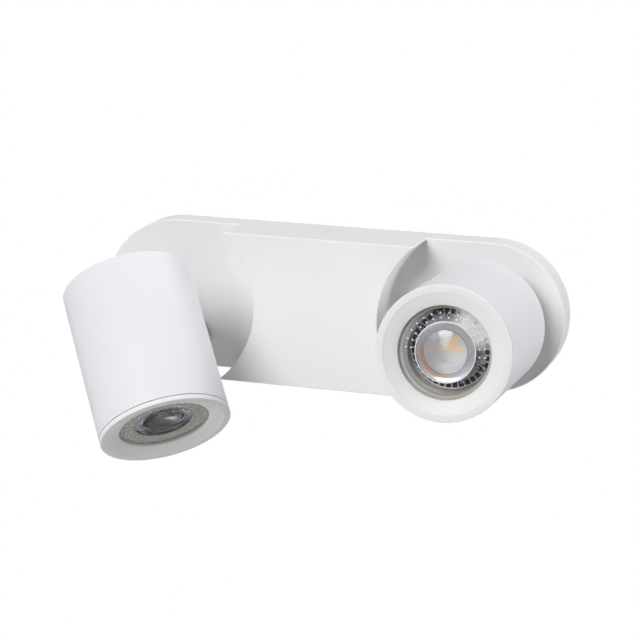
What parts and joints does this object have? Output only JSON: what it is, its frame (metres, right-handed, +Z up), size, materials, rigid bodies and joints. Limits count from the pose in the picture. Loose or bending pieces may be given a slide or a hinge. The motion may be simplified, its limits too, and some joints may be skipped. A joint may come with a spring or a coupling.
{
  "type": "pivoting spotlight wall light",
  "caption": "White wall light: a long rounded base with a deeper middle block and a cylindrical spot at each end that turns on a swivel arm and tilts on a hinge.",
  "frame": {"origin": "middle of the base's mounting face, on the wall", "axes": "+Y into the wall, so the light stands out towards -Y; +X along the base to the right as seen from the front; +Z up"},
  "size_m": [0.255, 0.1462, 0.113],
  "materials": {
    "white_powder_coat": "matte",
    "zinc_plated_steel": "satin",
    "brass_screws": "satin",
    "nickel_pins": "satin",
    "terminal_nylon": "satin",
    "glide_nylon": "satin",
    "grommet_rubber": "matte",
    "lead_sheath": "satin",
    "holder_ceramic": "matte",
    "gasket_silicone": "matte",
    "reflector_aluminium": "satin",
    "clear_lens": "gloss",
    "board_white": "satin",
    "led_phosphor": "satin"
  },
  "bodies": {
    "base": {"base_housing": "white_powder_coat", "wall_bracket": "zinc_plated_steel", "upper_catch_spring": "zinc_plated_steel", "lower_catch_spring": "zinc_plated_steel", "cable_grommet": "grommet_rubber", "terminal_block": "terminal_nylon", "terminal_screws": "brass_screws", "terminal_fixing_screws": "zinc_plated_steel", "earth_screw": "brass_screws", "left_base_lead": "lead_sheath", "right_base_lead": "lead_sheath"},
    "left_arm": {"left_tilt_arm": "white_powder_coat", "left_swivel_stud": "zinc_plated_steel", "left_glide_washer": "glide_nylon", "left_stop_washer": "zinc_plated_steel", "left_spring_washer": "zinc_plated_steel", "left_swivel_nut": "zinc_plated_steel", "left_arm_lead": "lead_sheath"},
    "left_head": {"left_head_body": "white_powder_coat", "left_front_ring": "white_powder_coat", "left_hinge_screw": "zinc_plated_steel", "left_hinge_nut": "zinc_plated_steel", "left_friction_washers": "glide_nylon", "left_lampholder": "holder_ceramic", "left_holder_bridge": "zinc_plated_steel", "left_holder_screws": "zinc_plated_steel", "left_head_lead": "lead_sheath", "left_lamp_gasket": "gasket_silicone", "left_lamp_shell": "reflector_aluminium", "left_lamp_pins": "nickel_pins", "left_lamp_lens": "clear_lens", "left_led_board": "board_white", "left_led_chips": "led_phosphor"},
    "right_arm": {"right_tilt_arm": "white_powder_coat", "right_swivel_stud": "zinc_plated_steel", "right_glide_washer": "glide_nylon", "right_stop_washer": "zinc_plated_steel", "right_spring_washer": "zinc_plated_steel", "right_swivel_nut": "zinc_plated_steel", "right_arm_lead": "lead_sheath"},
    "right_head": {"right_head_body": "white_powder_coat", "right_front_ring": "white_powder_coat", "right_hinge_screw": "zinc_plated_steel", "right_hinge_nut": "zinc_plated_steel", "right_friction_washers": "glide_nylon", "right_lampholder": "holder_ceramic", "right_holder_bridge": "zinc_plated_steel", "right_holder_screws": "zinc_plated_steel", "right_head_lead": "lead_sheath", "right_lamp_gasket": "gasket_silicone", "right_lamp_shell": "reflector_aluminium", "right_lamp_pins": "nickel_pins", "right_lamp_lens": "clear_lens", "right_led_board": "board_white", "right_led_chips": "led_phosphor"}
  },
  "joints": [
    {"name": "left_pan", "type": "hinge", "parent": "base", "child": "left_arm", "pos_m": [-0.0862, -0.017, 0], "axis": [0, -1, 0], "range_deg": [-200.6, 139.4]},
    {"name": "left_tilt", "type": "hinge", "parent": "left_arm", "child": "left_head", "pos_m": [-0.0722, -0.0675, -0.02367], "axis": [0.8607, 0, 0.509], "range_deg": [-65.6, 29.4]},
    {"name": "right_pan", "type": "hinge", "parent": "base", "child": "right_arm", "pos_m": [0.0862, -0.017, 0], "axis": [0, -1, 0], "range_deg": [-164.8, 175.2]},
    {"name": "right_tilt", "type": "hinge", "parent": "right_arm", "child": "right_head", "pos_m": [0.08371, -0.0675, -0.02739], "axis": [0.9959, 0, -0.0906], "range_deg": [-2.9, 92.1]}
  ]
}
